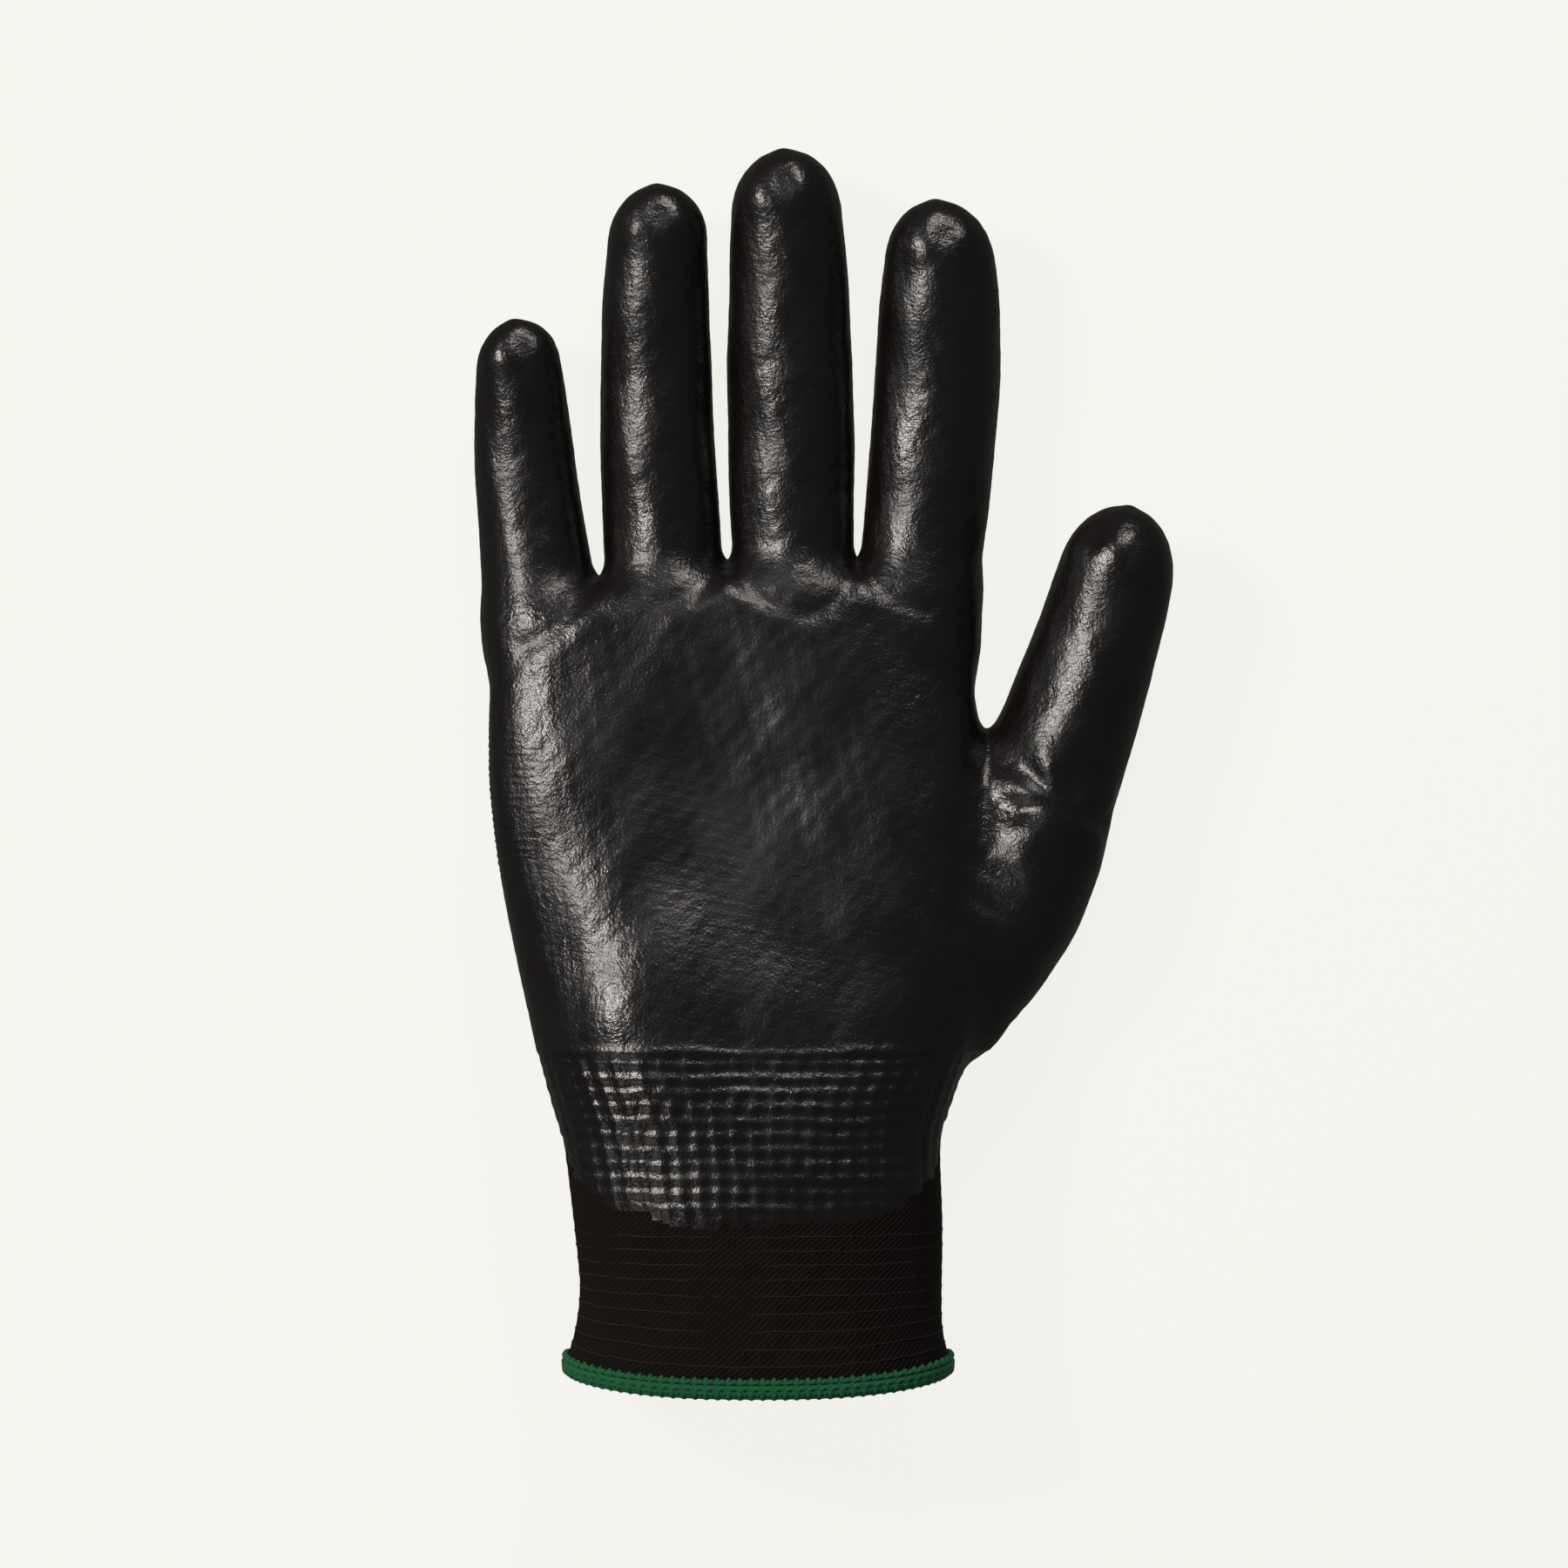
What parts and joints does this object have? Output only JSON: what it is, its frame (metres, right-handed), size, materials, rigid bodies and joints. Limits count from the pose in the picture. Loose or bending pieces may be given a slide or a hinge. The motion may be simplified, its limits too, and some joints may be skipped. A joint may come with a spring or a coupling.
{
  "type": "cut resistant glove",
  "caption": "Right-hand seamless knit work glove with a dipped coating on the palm side, an elastic ribbed cuff and an overlocked hem; folds at the wrist, knuckles, fingers and thumb",
  "frame": {"origin": "centre of the bounding box in X and Y, at the level of the surface that the back of the glove lies on", "axes": "+Y from the cuff to the fingertips, +X to the thumb side, +Z out of the palm"},
  "size_m": [0.1345, 0.24, 0.0471],
  "materials": {
    "knit": "near-black seamless fine knit, matte",
    "coating": "semi-gloss black dipped coating with a fine pebbled grain",
    "elastic": "dull grey covered elastic",
    "hem_yarn": "bulky green overlock yarn, matte"
  },
  "bodies": {
    "palm": {"liner_palm": "knit", "coating_palm": "coating"},
    "knuckles": {"liner_knuckles": "knit", "coating_knuckles": "coating"},
    "little_root": {"liner_little_root": "knit", "coating_little_root": "coating"},
    "little_mid": {"liner_little_mid": "knit", "coating_little_mid": "coating"},
    "little_tip": {"liner_little_tip": "knit", "coating_little_tip": "coating"},
    "ring_root": {"liner_ring_root": "knit", "coating_ring_root": "coating"},
    "ring_mid": {"liner_ring_mid": "knit", "coating_ring_mid": "coating"},
    "ring_tip": {"liner_ring_tip": "knit", "coating_ring_tip": "coating"},
    "middle_root": {"liner_middle_root": "knit", "coating_middle_root": "coating"},
    "middle_mid": {"liner_middle_mid": "knit", "coating_middle_mid": "coating"},
    "middle_tip": {"liner_middle_tip": "knit", "coating_middle_tip": "coating"},
    "index_root": {"liner_index_root": "knit", "coating_index_root": "coating"},
    "index_mid": {"liner_index_mid": "knit", "coating_index_mid": "coating"},
    "index_tip": {"liner_index_tip": "knit", "coating_index_tip": "coating"},
    "thumb_root": {"liner_thumb_root": "knit", "coating_thumb_root": "coating"},
    "thumb_tip": {"liner_thumb_tip": "knit", "coating_thumb_tip": "coating"},
    "cuff": {"knit_cuff": "knit", "coating_wrist": "coating", "elastic_threads": "elastic", "hem_outer_looper_thread": "hem_yarn", "hem_inner_looper_thread": "hem_yarn", "hem_needle_thread": "hem_yarn"}
  },
  "joints": [
    {"name": "wrist_bend", "type": "hinge", "parent": "palm", "child": "cuff", "pos_m": [-0.0138, -0.06, 0.021], "axis": [1, 0, 0], "range_deg": [-25, 25]},
    {"name": "knuckle_fold", "type": "hinge", "parent": "palm", "child": "knuckles", "pos_m": [-0.018, 0.0175, 0.018], "axis": [1, 0, 0], "range_deg": [0, 45]},
    {"name": "little_root_bend", "type": "hinge", "parent": "knuckles", "child": "little_root", "pos_m": [-0.05597, 0.04396, 0.01374], "axis": [0.9969, 0.0785, 0], "range_deg": [0, 45]},
    {"name": "little_mid_bend", "type": "hinge", "parent": "little_root", "child": "little_mid", "pos_m": [-0.05743, 0.05688, 0.01414], "axis": [0.9969, 0.0785, 0], "range_deg": [0, 85]},
    {"name": "little_tip_bend", "type": "hinge", "parent": "little_mid", "child": "little_tip", "pos_m": [-0.05858, 0.07284, 0.01519], "axis": [0.9969, 0.0785, 0], "range_deg": [0, 55]},
    {"name": "ring_root_bend", "type": "hinge", "parent": "knuckles", "child": "ring_root", "pos_m": [-0.03156, 0.0494, 0.01464], "axis": [0.9999, 0.0105, 0], "range_deg": [0, 45]},
    {"name": "ring_mid_bend", "type": "hinge", "parent": "ring_root", "child": "ring_mid", "pos_m": [-0.0324, 0.06839, 0.01502], "axis": [0.9999, 0.0105, 0], "range_deg": [0, 85]},
    {"name": "ring_tip_bend", "type": "hinge", "parent": "ring_mid", "child": "ring_tip", "pos_m": [-0.03252, 0.09139, 0.01605], "axis": [0.9999, 0.0105, 0], "range_deg": [0, 55]},
    {"name": "middle_root_bend", "type": "hinge", "parent": "knuckles", "child": "middle_root", "pos_m": [-0.00624, 0.0497, 0.01463], "axis": [0.9998, 0.0175, 0], "range_deg": [0, 45]},
    {"name": "middle_mid_bend", "type": "hinge", "parent": "middle_root", "child": "middle_mid", "pos_m": [-0.00658, 0.0692, 0.01497], "axis": [0.9998, 0.0175, 0], "range_deg": [0, 85]},
    {"name": "middle_tip_bend", "type": "hinge", "parent": "middle_mid", "child": "middle_tip", "pos_m": [-0.00703, 0.09519, 0.016], "axis": [0.9998, 0.0175, 0], "range_deg": [0, 55]},
    {"name": "index_root_bend", "type": "hinge", "parent": "knuckles", "child": "index_root", "pos_m": [0.01925, 0.04957, 0.01464], "axis": [0.9987, -0.0506, 0], "range_deg": [0, 45]},
    {"name": "index_mid_bend", "type": "hinge", "parent": "index_root", "child": "index_mid", "pos_m": [0.0209, 0.0665, 0.01499], "axis": [0.9987, -0.0506, 0], "range_deg": [0, 85]},
    {"name": "index_tip_bend", "type": "hinge", "parent": "index_mid", "child": "index_tip", "pos_m": [0.02192, 0.08798, 0.01597], "axis": [0.9987, -0.0506, 0], "range_deg": [0, 55]},
    {"name": "thumb_root_bend", "type": "hinge", "parent": "palm", "child": "thumb_root", "pos_m": [0.04435, 0.0072, 0.01713], "axis": [-0.7314, 0.2278, -0.6428], "range_deg": [-45, 0]},
    {"name": "thumb_tip_bend", "type": "hinge", "parent": "thumb_root", "child": "thumb_tip", "pos_m": [0.05065, 0.02619, 0.01788], "axis": [-0.7314, 0.2278, -0.6428], "range_deg": [-60, 0]}
  ]
}
